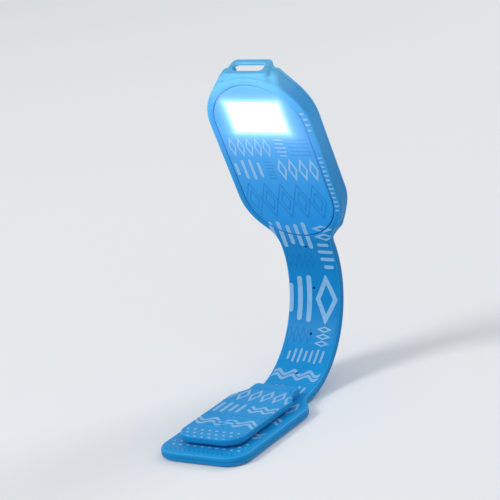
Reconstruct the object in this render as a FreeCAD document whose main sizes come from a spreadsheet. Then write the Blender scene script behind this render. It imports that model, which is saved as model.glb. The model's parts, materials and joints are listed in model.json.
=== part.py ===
"""Clip-on book light: a soft strip with a flat clip at one end and a lit head at the other.

Frame, in millimetres: +X across the strip, +Z up, the clip's lower leaf lies on Z = 0 and opens towards -Y.
The strip leaves the clip along +Y at Y = 0, rises in an arc and carries the head, whose lit face looks along -Y.
Head pieces are drawn in the head's own frame: X across, Y along the head, Z out of the lit face at Z = 0.
"""

import FreeCAD, Part
import math
import os

doc = FreeCAD.newDocument("reading_lamp")
sheet = doc.addObject("Spreadsheet::Sheet", "sizes")

# alias, value, meaning. Lengths in millimetres, angles in degrees.
SIZES = [
    # strip and neck
    ("strip_width", 19.0, "width of the flexible strip"),
    ("strip_thick", 3.0, "thickness of the flexible strip"),
    ("neck_radius", 30.0, "radius of the neck's centre line at rest"),
    ("neck_sweep", 115.0, "angle the neck turns through at rest"),
    ("first_bend", 17.0, "angle of the first bending line, counted from the clip"),
    ("link_angle", 15.0, "angle of one neck link"),
    ("link_gap", 0.5, "gap between two neck links"),
    ("core_width", 9.0, "width of the metal core strip"),
    ("core_thick", 0.8, "thickness of the metal core strip"),
    ("core_gap", 0.05, "clearance round the metal core"),
    ("pin_hole", 0.8, "diameter of the locating holes above the core"),
    # clip
    ("leaf_width", 30.0, "width of the lower leaf"),
    ("leaf_length", 48.0, "length of the lower leaf"),
    ("leaf_inset", 4.0, "distance from the start of the neck to the leaf's end"),
    ("leaf_round", 7.0, "corner radius of the lower leaf"),
    ("jaw_gap", 0.8, "gap between the leaf and the tongue"),
    ("tongue_width", 22.0, "width of the tongue"),
    ("tongue_thick", 2.4, "thickness of the tongue"),
    ("tongue_reach", 46.0, "distance from the start of the neck to the tongue's tip"),
    ("tongue_round", 6.0, "corner radius of the tongue"),
    ("tongue_root", 15.0, "width of the tongue at its root"),
    ("tongue_neck", 6.0, "length of the tongue's narrow root"),
    ("root_axis", 5.2, "distance from the start of the neck to the tongue's bending axis"),
    ("root_gap", 0.3, "clearance round the tongue's root"),
    ("heel_length", 4.4, "length of the heel behind the bending axis"),
    ("heel_width", 16.6, "width of the heel"),
    ("rib_height", 0.5, "height of the grip ribs"),
    ("rib_width", 1.2, "width of the grip ribs"),
    ("rib_pitch", 3.0, "distance between the grip ribs"),
    ("rib_inset", 6.0, "distance from the tongue's tip to the first rib"),
    ("rib_length", 14.0, "length of a grip rib across the leaf"),
    ("spring_width", 10.0, "width of a spring plate"),
    ("spring_thick", 0.5, "thickness of a spring plate"),
    ("spring_length", 27.0, "length of a spring plate"),
    ("spring_inset", 10.0, "distance from the start of the neck to the spring plates"),
    # head
    ("head_width", 36.0, "width of the head"),
    ("head_length", 64.8, "length of the head"),
    ("head_depth", 8.0, "depth of the head"),
    ("head_flare", 10.0, "radius of the head's flare into the strip"),
    ("head_wall", 2.4, "wall of the soft head sleeve"),
    ("fit_gap", 0.1, "clearance round the pieces set in the sleeve"),
    ("lip_depth", 0.8, "depth of the sleeve's back lip"),
    ("lip_width", 0.8, "width of the sleeve's back lip"),
    ("step_depth", 2.6, "depth at which the sleeve's chamber gets shorter"),
    ("step_drop", 3.9, "how much shorter the deep part of the chamber is"),
    ("crown_width", 22.0, "width of the crown under the loop"),
    ("crown_drop", 0.4, "distance from the head's end down to the crown's top"),
    ("crown_height", 5.0, "height of the crown"),
    ("loop_width", 13.0, "width of the loop"),
    ("loop_reach", 9.2, "distance from the lit face to the loop's end"),
    ("loop_thick", 2.0, "thickness of the loop"),
    ("slot_width", 9.0, "width of the loop's slot"),
    ("slot_depth", 3.5, "depth of the loop's slot"),
    ("slot_start", 2.9, "distance from the lit face to the loop's slot"),
    ("notch_start", 3.4, "distance from the lit face to the notch behind the loop"),
    ("notch_height", 2.8, "height of the notch under the loop"),
    # covers and optics
    ("cover_thick", 1.3, "thickness of the front cover"),
    ("window_width", 18.0, "width of the lens window"),
    ("window_height", 11.0, "height of the lens window"),
    ("window_centre", 17.8, "distance from the head's middle to the window's middle"),
    ("window_round", 1.5, "corner radius of the window"),
    ("lens_flange", 0.7, "width of the lens flange"),
    ("flange_thick", 0.5, "thickness of the lens flange"),
    ("reflector_wall", 1.0, "wall of the reflector"),
    ("reflector_depth", 0.9, "depth of the reflector"),
    ("led_width", 3.5, "width of one light-emitting diode"),
    ("led_height", 2.8, "height of one light-emitting diode"),
    ("led_thick", 0.7, "thickness of one light-emitting diode"),
    ("led_pitch_across", 5.2, "distance between the diodes across the head"),
    ("led_pitch_along", 4.4, "distance between the diodes along the head"),
    # electronics
    ("board_thick", 0.8, "thickness of the circuit board"),
    ("board_front", 3.9, "distance from the lit face to the board's front"),
    ("board_top", 24.4, "distance from the head's middle to the board's top edge"),
    ("switch_side", 4.6, "side of the switch body"),
    ("switch_depth", 0.75, "depth of the switch body"),
    ("plunger_size", 2.0, "diameter of the switch plunger"),
    ("plunger_gap", 0.1, "clearance round the switch plunger"),
    ("button_size", 9.0, "diameter of the power button"),
    ("button_centre", 18.9, "distance from the head's middle to the power button"),
    ("button_proud", 0.4, "how far the power button stands proud"),
    ("button_flange", 0.6, "width of the power button's flange"),
    ("flange_depth", 0.5, "thickness of the power button's flange"),
    ("chip_side", 3.0, "side of the driver chip"),
    ("chip_thick", 0.9, "thickness of the driver chip"),
    ("chip_offset", 7.0, "distance from the middle line to the driver chip"),
    ("resistor_length", 1.6, "length of a resistor"),
    ("resistor_width", 0.8, "width of a resistor"),
    ("resistor_thick", 0.5, "thickness of a resistor"),
    ("resistor_pitch", 1.8, "distance between the resistors"),
    # power
    ("cell_size", 20.0, "diameter of a coin cell"),
    ("cell_thick", 3.2, "thickness of a coin cell"),
    ("cell_front", 3.25, "distance from the lit face to the cells' fronts"),
    ("cell_upper", 2.9, "height of the upper cell's middle above the head's middle"),
    ("cell_lower", 17.5, "distance of the lower cell's middle below the head's middle"),
    ("well_gap", 0.1, "clearance round a cell"),
    ("frame_floor", 0.5, "floor of the battery frame"),
    ("frame_top", 13.5, "distance from the head's middle to the battery frame's top edge"),
    ("contact_thick", 0.2, "thickness of the contact springs"),
    ("contact_width", 4.0, "width of the contact springs"),
    ("contact_reach", 10.5, "distance from the head's middle to the contacts' upper ends"),
    ("rear_wall", 0.8, "side wall of the rear cover"),
    ("rear_floor", 1.2, "floor of the rear cover and thickness of the battery door"),
    ("door_width", 20.2, "width of the battery door"),
    # fasteners
    ("screw_size", 1.6, "thread diameter of the small screws"),
    ("screw_head", 2.6, "head diameter of the small screws"),
    ("head_thick", 0.6, "head thickness of the small screws"),
    ("screw_gap", 0.05, "clearance round a screw"),
    ("boss_size", 3.0, "diameter of the screw bosses"),
    ("screw_across", 12.6, "distance from the middle line to a cover screw"),
    ("screw_upper", 10.4, "height of the upper cover screws above the head's middle"),
    ("screw_lower", 7.6, "distance of the lower cover screws below the head's middle"),
    ("door_screw", 8.2, "distance from the middle line to a door screw"),
]

for row, (alias, number, meaning) in enumerate(SIZES, start=1):
    sheet.set("A%d" % row, alias)
    sheet.set("B%d" % row, str(number))
    sheet.set("C%d" % row, meaning)
    sheet.setAlias("B%d" % row, alias)
doc.recompute()


class Size:
    """A length or angle: its number now, and the expression over the sheet that gives it."""

    def __init__(self, number, text):
        self.number = float(number)
        self.text = text

    def __add__(self, other):
        other = as_size(other)
        return Size(self.number + other.number, "(%s + %s)" % (self.text, other.text))

    def __radd__(self, other):
        return as_size(other) + self

    def __sub__(self, other):
        other = as_size(other)
        return Size(self.number - other.number, "(%s - %s)" % (self.text, other.text))

    def __rsub__(self, other):
        return as_size(other) - self

    def __mul__(self, other):
        other = as_size(other)
        return Size(self.number * other.number, "(%s * %s)" % (self.text, other.text))

    def __rmul__(self, other):
        return as_size(other) * self

    def __truediv__(self, other):
        other = as_size(other)
        return Size(self.number / other.number, "(%s / %s)" % (self.text, other.text))

    def __neg__(self):
        return Size(-self.number, "(-1 * %s)" % self.text)


def as_size(value):
    """A plain number as a Size."""
    return value if isinstance(value, Size) else Size(value, repr(float(value)))


def size(alias):
    """The sheet's value of that name."""
    return Size(sheet.get(alias), "sizes." + alias)


def root(value):
    """Square root of a Size."""
    return Size(math.sqrt(value.number), "sqrt(%s)" % value.text)


def turn_of(length, radius):
    """The angle, in degrees, of an arc of that length and radius."""
    ratio = length / radius
    return Size(math.degrees(ratio.number), "(%s * 180 / pi)" % ratio.text)


def cosine(angle):
    """Cosine of an angle in degrees."""
    return Size(math.cos(math.radians(angle.number)), "cos(%s)" % angle.text)


def sine(angle):
    """Sine of an angle in degrees."""
    return Size(math.sin(math.radians(angle.number)), "sin(%s)" % angle.text)


NONE = as_size(0)
count = [0]


def add(kind, name):
    """A new document object with a name of its own."""
    count[0] += 1
    return doc.addObject(kind, "%s_%03d" % (name, count[0]))


def bind(thing, **values):
    """Bind properties of a document object to the sheet."""
    for prop, value in values.items():
        value = as_size(value)
        setattr(thing, prop, value.number)
        thing.setExpression(prop, value.text)
    return thing


def place(thing, x=NONE, y=NONE, z=NONE, axis=(0, 0, 1), angle=NONE):
    """Put an object at a point, turned about an axis; everything bound to the sheet."""
    point = [as_size(x), as_size(y), as_size(z)]
    angle = as_size(angle)
    spin = FreeCAD.Rotation(FreeCAD.Vector(*axis), angle.number)
    thing.Placement = FreeCAD.Placement(FreeCAD.Vector(*[p.number for p in point]), spin)
    for letter, value in zip("xyz", point):
        thing.setExpression("Placement.Base." + letter, value.text)
    if angle.text != NONE.text:
        thing.setExpression("Placement.Rotation.Angle", angle.text)
    return thing


def block(name, x0, x1, y0, y1, z0, z1):
    """A box between those limits."""
    box = add("Part::Box", name)
    bind(box, Length=x1 - x0, Width=y1 - y0, Height=z1 - z0)
    return place(box, x0, y0, z0)


def centred(name, width, y0, y1, z0, z1):
    """A box of that width across the middle line."""
    return block(name, -width / 2, width / 2, y0, y1, z0, z1)


def rod_up(name, x, y, radius, z0, z1):
    """A round rod along Z."""
    rod = add("Part::Cylinder", name)
    bind(rod, Radius=radius, Height=z1 - z0)
    return place(rod, x, y, z0)


def rod_across(name, width, y, z, radius):
    """A round rod along X, centred on the middle line."""
    rod = add("Part::Cylinder", name)
    bind(rod, Radius=radius, Height=width)
    return place(rod, -width / 2, y, z, (0, 1, 0), as_size(90))


def join(name, *pieces):
    """One solid from pieces that overlap or touch."""
    whole = add("Part::MultiFuse", name)
    whole.Shapes = list(pieces)
    whole.Refine = True
    return whole


def take(name, base, *tools):
    """The base with the tools removed."""
    for tool in tools:
        step = add("Part::Cut", name)
        step.Base = base
        step.Tool = tool
        base = step
    return base


def keep(name, one, two):
    """What two solids share."""
    shared = add("Part::MultiCommon", name)
    shared.Shapes = [one, two]
    return shared


def group(name, *pieces):
    """Separate solids in one node."""
    held = add("Part::Compound", name)
    held.Links = list(pieces)
    return held


def rounded(name, width, y0, y1, radius, z0, z1):
    """A flat plate with four round corners."""
    half = width / 2
    parts = [
        centred(name, width, y0 + radius, y1 - radius, z0, z1),
        centred(name, width - 2 * radius, y0, y1, z0, z1),
    ]
    for x in (radius - half, half - radius):
        for y in (y0 + radius, y1 - radius):
            parts.append(rod_up(name, x, y, radius, z0, z1))
    return join(name, *parts)


def stadium(name, half_width, straight, z0, z1, middle=NONE):
    """A plate with two round ends; straight is half the length of its straight sides."""
    return join(
        name,
        centred(name, 2 * half_width, middle - straight, middle + straight, z0, z1),
        rod_up(name, NONE, middle + straight, half_width, z0, z1),
        rod_up(name, NONE, middle - straight, half_width, z0, z1),
    )


def sector(name, width, radius, thick, sweep, begin=NONE):
    """Part of a ring about X: from straight below the centre, turning towards +Y."""
    outer = add("Part::Cylinder", name)
    bind(outer, Radius=radius + thick / 2, Height=width, Angle=sweep)
    place(outer, -width / 2, NONE, NONE, (0, 1, 0), as_size(90))
    inner = rod_across(name, width + 2, NONE, NONE, radius - thick / 2)
    ring = take(name, outer, inner)
    if begin.text != NONE.text:
        turned = add("Part::Compound", name)
        turned.Links = [ring]
        ring = place(turned, NONE, NONE, NONE, (1, 0, 0), begin)
    return ring


def arc_point(radius, angle):
    """The Y and Z of a point on a ring about X."""
    return radius * sine(angle), -radius * cosine(angle)


def hole_in(name, radius, angle):
    """A locating hole from the strip's inner face down to the core."""
    y, z = arc_point(radius - core_half, angle)
    pin = add("Part::Cylinder", name)
    bind(pin, Radius=size("pin_hole") / 2, Height=size("strip_thick"))
    return place(pin, NONE, y, z, (1, 0, 0), angle)


made = []


def node(name, thing, where=None):
    """Name a finished piece, and put it in its frame."""
    if where is not None:
        place(thing, *where)
    thing.Label = name
    made.append((name, thing))
    return thing


# ---------------------------------------------------------------- shared values
strip_width = size("strip_width")
strip_thick = size("strip_thick")
strip_half = strip_thick / 2
neck_radius = size("neck_radius")
neck_sweep = size("neck_sweep")
first_bend = size("first_bend")
link_angle = size("link_angle")
core_half = size("core_thick") / 2 + size("core_gap")
core_room = size("core_width") + 2 * size("core_gap")
end_turn = turn_of(size("link_gap") / 2 + strip_half, neck_radius)
ring_height = strip_half + neck_radius
ARC = (NONE, NONE, ring_height)
LINKS = 5


# ---------------------------------------------------------------- neck links
def link(number):
    """One neck link and the piece of core in it, drawn from its lower bending line."""
    name = "neck_link_%d" % number
    inner_sweep = link_angle - 2 * end_turn
    low_y, low_z = arc_point(neck_radius, end_turn)
    high_y, high_z = arc_point(neck_radius, link_angle - end_turn)
    body = join(
        name,
        sector(name, strip_width, neck_radius, strip_thick, inner_sweep, end_turn),
        rod_across(name, strip_width, low_y, low_z, strip_half),
        rod_across(name, strip_width, high_y, high_z, strip_half),
    )
    pocket = sector(name, core_room, neck_radius, 2 * core_half, inner_sweep, end_turn)
    tools = [pocket]
    if number % 2 == 1:
        tools.append(hole_in(name, neck_radius, link_angle / 2))
    spot = ARC + ((1, 0, 0), first_bend + (number - 1) * link_angle)
    node(name, take(name, body, *tools), spot)
    spare = turn_of(size("core_gap"), neck_radius)
    core = sector("core", size("core_width"), neck_radius, size("core_thick"),
                  inner_sweep - 2 * spare, end_turn + spare)
    wrap = group("core", core)
    node("core_plate_%d" % number, wrap, spot)


for number in range(1, LINKS + 1):
    link(number)


# ---------------------------------------------------------------- clip
leaf_end = -size("leaf_inset")
leaf_tip = leaf_end - size("leaf_length")
jaw = size("jaw_gap")
tongue_thick = size("tongue_thick")
tongue_low = strip_thick + jaw
tongue_high = tongue_low + tongue_thick
tongue_tip = -size("tongue_reach")
axis_y = -size("root_axis")
axis_z = tongue_low + tongue_thick / 2
spring_start = -size("spring_inset")
spring_stop = spring_start - size("spring_length")
spring_room = size("spring_thick") + 2 * size("core_gap")


def spring_pair(name, middle):
    """A spring plate and the pocket it lies in."""
    spare = size("core_gap")
    half = size("spring_thick") / 2
    plate = centred(name, size("spring_width"), spring_stop, spring_start, middle - half, middle + half)
    pocket = centred(name, size("spring_width") + 2 * spare, spring_stop - spare, spring_start + spare,
                     middle - half - spare, middle + half + spare)
    return plate, pocket


root_sweep = first_bend - end_turn
root_y, root_z = arc_point(neck_radius, root_sweep)
root_ring = sector("root_ring", strip_width, neck_radius, strip_thick, root_sweep)
root_bar = rod_across("root_bar", strip_width, root_y, root_z, strip_half)
root_arc = place(join("root_arc", root_ring, root_bar), *ARC)
leaf_plate = rounded("leaf", size("leaf_width"), leaf_tip, leaf_end, size("leaf_round"), NONE, strip_thick)
leaf_strip = centred("leaf", strip_width, leaf_end - size("leaf_round"), NONE, NONE, strip_thick)
heel_room = tongue_thick / 2 + size("root_gap")
heel = take(
    "heel",
    centred("heel", size("heel_width"), axis_y, axis_y + size("heel_length"), strip_thick - 1, tongue_high),
    rod_across("heel", size("heel_width") + 2, axis_y, axis_z, heel_room),
)
ribs = []
for place_number in range(3):
    rib_y = tongue_tip + size("rib_inset") + place_number * size("rib_pitch")
    ribs.append(centred("rib", size("rib_length"), rib_y, rib_y + size("rib_width"),
                        strip_thick - 1, strip_thick + size("rib_height")))
lower_spring, lower_pocket = spring_pair("lower_spring", strip_half)
root_core_turn = root_sweep
root_core_hole = place(sector("root_core", core_room, neck_radius, 2 * core_half, root_core_turn), *ARC)
node("clip_leaf", take("clip_leaf", join("clip_leaf", leaf_plate, leaf_strip, root_arc, heel, *ribs),
                       lower_pocket, root_core_hole))
node("leaf_spring", lower_spring)
root_spare = turn_of(size("core_gap"), neck_radius)
node("core_root", group("core_root", sector("core_root", size("core_width"), neck_radius, size("core_thick"),
                                            root_core_turn - 2 * root_spare, root_spare)), ARC)

tongue_blade = rounded("tongue", size("tongue_width"), tongue_tip, axis_y - size("tongue_neck") / 2,
                       size("tongue_round"), tongue_low, tongue_high)
tongue_stem = centred("tongue", size("tongue_root"), axis_y - size("tongue_neck") - size("tongue_round"), axis_y,
                      tongue_low, tongue_high)
tongue_end = rod_across("tongue", size("tongue_root"), axis_y, axis_z, tongue_thick / 2)
upper_spring, upper_pocket = spring_pair("upper_spring", axis_z)
node("clip_tongue", take("clip_tongue", join("clip_tongue", tongue_blade, tongue_stem, tongue_end), upper_pocket))
node("tongue_spring", upper_spring)

# ---------------------------------------------------------------- head frame
head_half = size("head_width") / 2
head_end = size("head_length") / 2
head_straight = head_end - head_half
head_depth = size("head_depth")
flare = size("head_flare")
flare_x = strip_width / 2 + flare
flare_reach = head_half + flare
flare_drop = root(flare_reach * flare_reach - flare_x * flare_x)
flare_y = -head_straight - flare_drop
joint_x = head_half * flare_x / flare_reach
joint_y = -head_straight - head_half * flare_drop / flare_reach
end_y, end_z = arc_point(neck_radius, neck_sweep)
HEAD = (
    NONE,
    end_y - flare_y * cosine(neck_sweep) - strip_half * sine(neck_sweep),
    ring_height + end_z - flare_y * sine(neck_sweep) + strip_half * cosine(neck_sweep),
    (1, 0, 0),
    neck_sweep,
)
wall = size("head_wall")
fit = size("fit_gap")
room_half = head_half - wall
panel_half = room_half - fit
back_half = room_half - size("lip_width")
lip_front = -(head_depth - size("lip_depth"))
back = -head_depth
deep_end = head_straight + room_half - size("step_drop")

# sleeve: soft outer ring with crown, loop, flare and the last part of the strip
tail_turn = neck_sweep - first_bend - LINKS * link_angle - end_turn
tail_y, tail_z = arc_point(neck_radius, -tail_turn)
tail = join(
    "tail",
    sector("tail", strip_width, neck_radius, strip_thick, tail_turn, -tail_turn),
    rod_across("tail", strip_width, tail_y, tail_z, strip_half),
)
place(tail, NONE, flare_y, neck_radius - strip_half)
flare_block = take(
    "flare",
    centred("flare", 2 * joint_x, flare_y, joint_y + 1, -strip_thick, NONE),
    rod_up("flare", flare_x, flare_y, flare, -strip_thick - 1, as_size(1)),
    rod_up("flare", -flare_x, flare_y, flare, -strip_thick - 1, as_size(1)),
)
crown_top = head_end - size("crown_drop")
crown = centred("crown", size("crown_width"), crown_top - size("crown_height"), crown_top, back, NONE)
loop_plate = centred("loop", size("loop_width"), crown_top - 1, crown_top + size("loop_thick"),
                     -size("loop_reach"), NONE)
shell = join("shell", stadium("shell", head_half, head_straight, back, NONE), crown, loop_plate,
             flare_block, tail)
front_room = stadium("room", room_half, head_straight, -size("step_depth"), as_size(1))
deep_room = take(
    "room",
    stadium("room", room_half, head_straight, lip_front, as_size(1)),
    centred("room", 3 * room_half, deep_end, head_end + 2, lip_front - 1, as_size(2)),
)
rear_room = take(
    "room",
    stadium("room", back_half, head_straight, back - 1, as_size(1)),
    centred("room", 3 * room_half, deep_end - size("lip_width"), head_end + 2, back - 2, as_size(2)),
)
notch = centred("notch", size("loop_width") + 0.6, crown_top - size("notch_height"), crown_top,
                back - 3, -size("notch_start"))
slot_round = size("slot_depth") / 2
slot_middle = -size("slot_start") - slot_round
slot_straight = size("slot_width") / 2 - slot_round
slot_bar = block("slot", -slot_straight, slot_straight, crown_top, crown_top + size("loop_thick") + 1,
                 slot_middle - slot_round, slot_middle + slot_round)
slot_tools = [slot_bar]
for side in (-1, 1):
    slot_end = add("Part::Cylinder", "slot")
    bind(slot_end, Radius=slot_round, Height=size("loop_thick") + 1)
    place(slot_end, slot_straight * side, crown_top, slot_middle, (1, 0, 0), as_size(-90))
    slot_tools.append(slot_end)
tail_core = sector("tail", core_room, neck_radius, 2 * core_half, tail_turn, -tail_turn)
tail_room = place(group("tail", tail_core), NONE, flare_y, neck_radius - strip_half)
head_pin = rod_up("pin", NONE, flare_y, size("pin_hole") / 2, -strip_half, as_size(1))
node("head_sleeve", take("head_sleeve", shell, front_room, deep_room, rear_room, notch, *slot_tools,
                         tail_room, head_pin), HEAD)
tail_spare = turn_of(size("core_gap"), neck_radius)
tail_plate = place(
    group("tail", sector("tail", size("core_width"), neck_radius, size("core_thick"),
                         tail_turn - 2 * tail_spare, tail_spare - tail_turn)),
    NONE, flare_y, neck_radius - strip_half)
node("core_head", group("core_head", tail_plate), HEAD)

# front cover with its screw bosses, and the lens
cover_back = -size("cover_thick")
window_half = size("window_height") / 2
window_low = size("window_centre") - window_half
window_high = size("window_centre") + window_half
screw_spots = []
for side in (-1, 1):
    for along in (size("screw_upper"), -size("screw_lower")):
        screw_spots.append((size("screw_across") * side, along))
floor_front = -(head_depth - size("rear_floor"))
boss_end = floor_front + fit
bosses = [rod_up("boss", x, y, size("boss_size") / 2, boss_end, cover_back + 0.2) for x, y in screw_spots]
thread_room = size("screw_size") / 2 + size("screw_gap")
threads = [rod_up("thread", x, y, thread_room, boss_end - 1, cover_back - 0.3) for x, y in screw_spots]
cover_plate = stadium("cover", panel_half, head_straight, cover_back, NONE)
window = rounded("window", size("window_width") + 2 * fit, window_low - fit, window_high + fit,
                 size("window_round") + fit, cover_back - 1, as_size(1))
node("front_cover", take("front_cover", join("front_cover", cover_plate, *bosses), window, *threads), HEAD)

flange = size("lens_flange")
flange_front = cover_back - 0.02
flange_back = flange_front - size("flange_thick")
lens_pane = rounded("lens", size("window_width"), window_low, window_high, size("window_round"), flange_back, NONE)
lens_rim = rounded("lens", size("window_width") + 2 * flange, window_low - flange, window_high + flange,
                   size("window_round") + flange, flange_back, flange_front)
node("lens", join("lens", lens_pane, lens_rim), HEAD)

reflector_front = flange_back - 0.02
reflector_back = reflector_front - size("reflector_depth")
reflector_wall = size("reflector_wall")
rim = rounded("reflector", size("window_width"), window_low, window_high, size("window_round"),
              reflector_back, reflector_front)
mouth = rounded("reflector", size("window_width") - 2 * reflector_wall, window_low + reflector_wall,
                window_high - reflector_wall, size("window_round") / 2, reflector_back - 1, reflector_front + 1)
node("reflector", take("reflector", rim, mouth), HEAD)

# circuit board and what sits on it
board_front = -size("board_front")
board_back = board_front - size("board_thick")
inner_half = panel_half - size("rear_wall")
board_low = size("frame_top") + fit
board_sheet = stadium("board", inner_half - fit, head_straight, board_back, board_front)
board_area = centred("board", 3 * room_half, board_low, size("board_top"), board_back - 1, board_front + 1)
node("circuit_board", keep("circuit_board", board_sheet, board_area), HEAD)
leds = []
for across in (-1, 0, 1):
    for along in (-0.5, 0.5):
        middle_x = size("led_pitch_across") * across
        middle_y = size("window_centre") + size("led_pitch_along") * along
        leds.append(block("led", middle_x - size("led_width") / 2, middle_x + size("led_width") / 2,
                          middle_y - size("led_height") / 2, middle_y + size("led_height") / 2,
                          board_front, board_front + size("led_thick")))
node("led_chips", group("led_chips", *leds), HEAD)
button_y = size("button_centre")
switch_half = size("switch_side") / 2
switch_back = board_back - size("switch_depth")
switch_block = centred("switch", size("switch_side"), button_y - switch_half, button_y + switch_half,
                       switch_back, board_back)
plunger_half = size("plunger_size") / 2
switch_bore = rod_up("switch", NONE, button_y, plunger_half + size("plunger_gap"), switch_back - 1, board_back)
node("tact_switch", take("tact_switch", switch_block, switch_bore), HEAD)
chip_x = size("chip_offset")
chip = block("chip", chip_x - size("chip_side") / 2, chip_x + size("chip_side") / 2,
             button_y - size("chip_side") / 2, button_y + size("chip_side") / 2,
             board_back - size("chip_thick"), board_back)
node("driver_chip", group("driver_chip", chip), HEAD)
resistors = []
for step in (-1, 0, 1):
    middle_y = button_y + size("resistor_pitch") * step
    resistors.append(block("resistor", -chip_x - size("resistor_length") / 2, -chip_x + size("resistor_length") / 2,
                           middle_y - size("resistor_width") / 2, middle_y + size("resistor_width") / 2,
                           board_back - size("resistor_thick"), board_back))
node("resistors", group("resistors", *resistors), HEAD)

# power button in the rear cover, and the switch plunger it pushes
flange_face = floor_front + fit
flange_inner = flange_face + size("flange_depth")
button_half = size("button_size") / 2
node("power_button", join(
    "power_button",
    rod_up("button", NONE, button_y, button_half, back - size("button_proud"), flange_inner),
    rod_up("button", NONE, button_y, button_half + size("button_flange"), flange_face, flange_inner),
), HEAD)
plunger_inner = switch_back + size("switch_depth") / 2
node("switch_plunger", group("switch_plunger", rod_up("plunger", NONE, button_y, plunger_half,
                                                     flange_inner + 0.02, plunger_inner)), HEAD)

# cells, battery frame and contacts
cell_half = size("cell_size") / 2
cell_front = -size("cell_front")
cell_back = cell_front - size("cell_thick")
upper_y = size("cell_upper")
lower_y = -size("cell_lower")
node("cell_upper", group("cell", rod_up("cell", NONE, upper_y, cell_half, cell_back, cell_front)), HEAD)
node("cell_lower", group("cell", rod_up("cell", NONE, lower_y, cell_half, cell_back, cell_front)), HEAD)
contact_thick = size("contact_thick")
floor_back = cell_front + contact_thick + 0.04
frame_front = floor_back + size("frame_floor")
frame_sheet = stadium("frame", inner_half - fit, head_straight, cell_back, frame_front)
frame_block = take("frame", frame_sheet, centred("frame", 3 * room_half, size("frame_top"), head_end,
                                                 cell_back - 1, frame_front + 1))
well = cell_half + size("well_gap")
frame_tools = [
    rod_up("well", NONE, upper_y, well, cell_back - 1, floor_back),
    rod_up("well", NONE, lower_y, well, cell_back - 1, floor_back),
    centred("relief", size("window_width") + 2, window_low - flange - fit, head_end,
            floor_back, frame_front + 1),
    rod_up("relief", NONE, lower_y, contact_thick * 9, floor_back - 1, frame_front + 1),
]
for x, y in screw_spots:
    frame_tools.append(rod_up("relief", x, y, size("boss_size") / 2 + fit, cell_back - 1, frame_front + 1))
door_y = (upper_y + lower_y) / 2
door_spots = [(-size("door_screw"), door_y), (size("door_screw"), door_y)]
thread_end = frame_front - size("frame_floor")
for x, y in door_spots:
    frame_tools.append(rod_up("thread", x, y, thread_room, cell_back - 1, thread_end))
node("battery_frame", take("battery_frame", frame_block, *frame_tools), HEAD)
contact_width = size("contact_width")
contact_top = size("contact_reach")
node("contact_minus", group("contact", centred("contact", contact_width, upper_y - contact_width, contact_top,
                                               cell_front + 0.02, cell_front + 0.02 + contact_thick)), HEAD)
lead_back = frame_front + 0.02
node("contact_plus", join(
    "contact",
    centred("contact", contact_width, lower_y - contact_width, contact_top, lead_back, lead_back + contact_thick),
    rod_up("contact", NONE, lower_y, contact_thick * 8, cell_front + 0.02, lead_back + contact_thick / 2),
), HEAD)
bridge_front = cell_back - 0.02
node("contact_bridge", group("contact", centred("contact", contact_width, lower_y - contact_width,
                                                upper_y + contact_width, bridge_front - contact_thick,
                                                bridge_front)), HEAD)

# rear cover, battery door and screws
tray = stadium("tray", panel_half, head_straight, lip_front + fit, cover_back - fit)
tray_back = stadium("tray", back_half - fit, head_straight, back, cover_back - fit)
tray_room = stadium("tray", inner_half, head_straight, floor_front, as_size(1))
tray_cut = centred("tray", 3 * room_half, deep_end - fit, head_end + 2, back - 1, as_size(2))
back_cut = centred("tray", 3 * room_half, deep_end - size("lip_width") - fit, head_end + 2,
                   back - 1, lip_front + fit)
door_half = size("door_width") / 2
door_straight = (upper_y - lower_y) / 2
door_hole = stadium("door", door_half + fit, door_straight, back - 1, floor_front + 0.5, door_y)
button_hole = rod_up("tray", NONE, button_y, button_half + fit, back - 1, floor_front + 0.5)
tray_tools = [tray_room, tray_cut, back_cut, door_hole, button_hole]
head_room = size("head_thick") + fit
for x, y in screw_spots:
    tray_tools.append(rod_up("tray", x, y, thread_room, back - 1, floor_front + 1))
    tray_tools.append(rod_up("tray", x, y, size("screw_head") / 2 + fit, back - 1, back + head_room))
node("rear_cover", take("rear_cover", join("tray", tray, tray_back), *tray_tools), HEAD)
door_sheet = stadium("door", door_half, door_straight, back, floor_front, door_y)
door_tools = []
for x, y in door_spots:
    door_tools.append(rod_up("door", x, y, thread_room, back - 1, floor_front + 1))
    door_tools.append(rod_up("door", x, y, size("screw_head") / 2 + fit, back - 1, back + head_room))
node("battery_door", take("battery_door", door_sheet, *door_tools), HEAD)


def screw(x, y, reach):
    """A small pan-head screw whose head is sunk in the back."""
    seat = back + head_room - 0.02
    return join(
        "screw",
        rod_up("screw", x, y, size("screw_head") / 2, seat - size("head_thick"), seat),
        rod_up("screw", x, y, size("screw_size") / 2, seat - size("head_thick") / 2, reach),
    )


node("cover_screws", group("cover_screws", *[screw(x, y, cover_back - 0.6) for x, y in screw_spots]), HEAD)
node("door_screws", group("door_screws", *[screw(x, y, thread_end - 0.3) for x, y in door_spots]), HEAD)

# ---------------------------------------------------------------- build, check and write
doc.recompute()
for thing in doc.Objects:
    for state in thing.State:
        if state in ("Invalid", "Error"):
            raise RuntimeError("%s is %s" % (thing.Name, state))
os.makedirs("parts", exist_ok=True)
for name, thing in made:
    shape = thing.Shape
    if shape.isNull() or not shape.isValid() or not shape.Solids:
        raise RuntimeError("%s has no valid shape" % name)
    Part.export([thing], "parts/%s.step" % name)
    print(name, len(shape.Solids), round(shape.Volume, 2))
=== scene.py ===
import json
import math

import bmesh
import bpy
import numpy as np
from mathutils import Matrix, Vector


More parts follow.
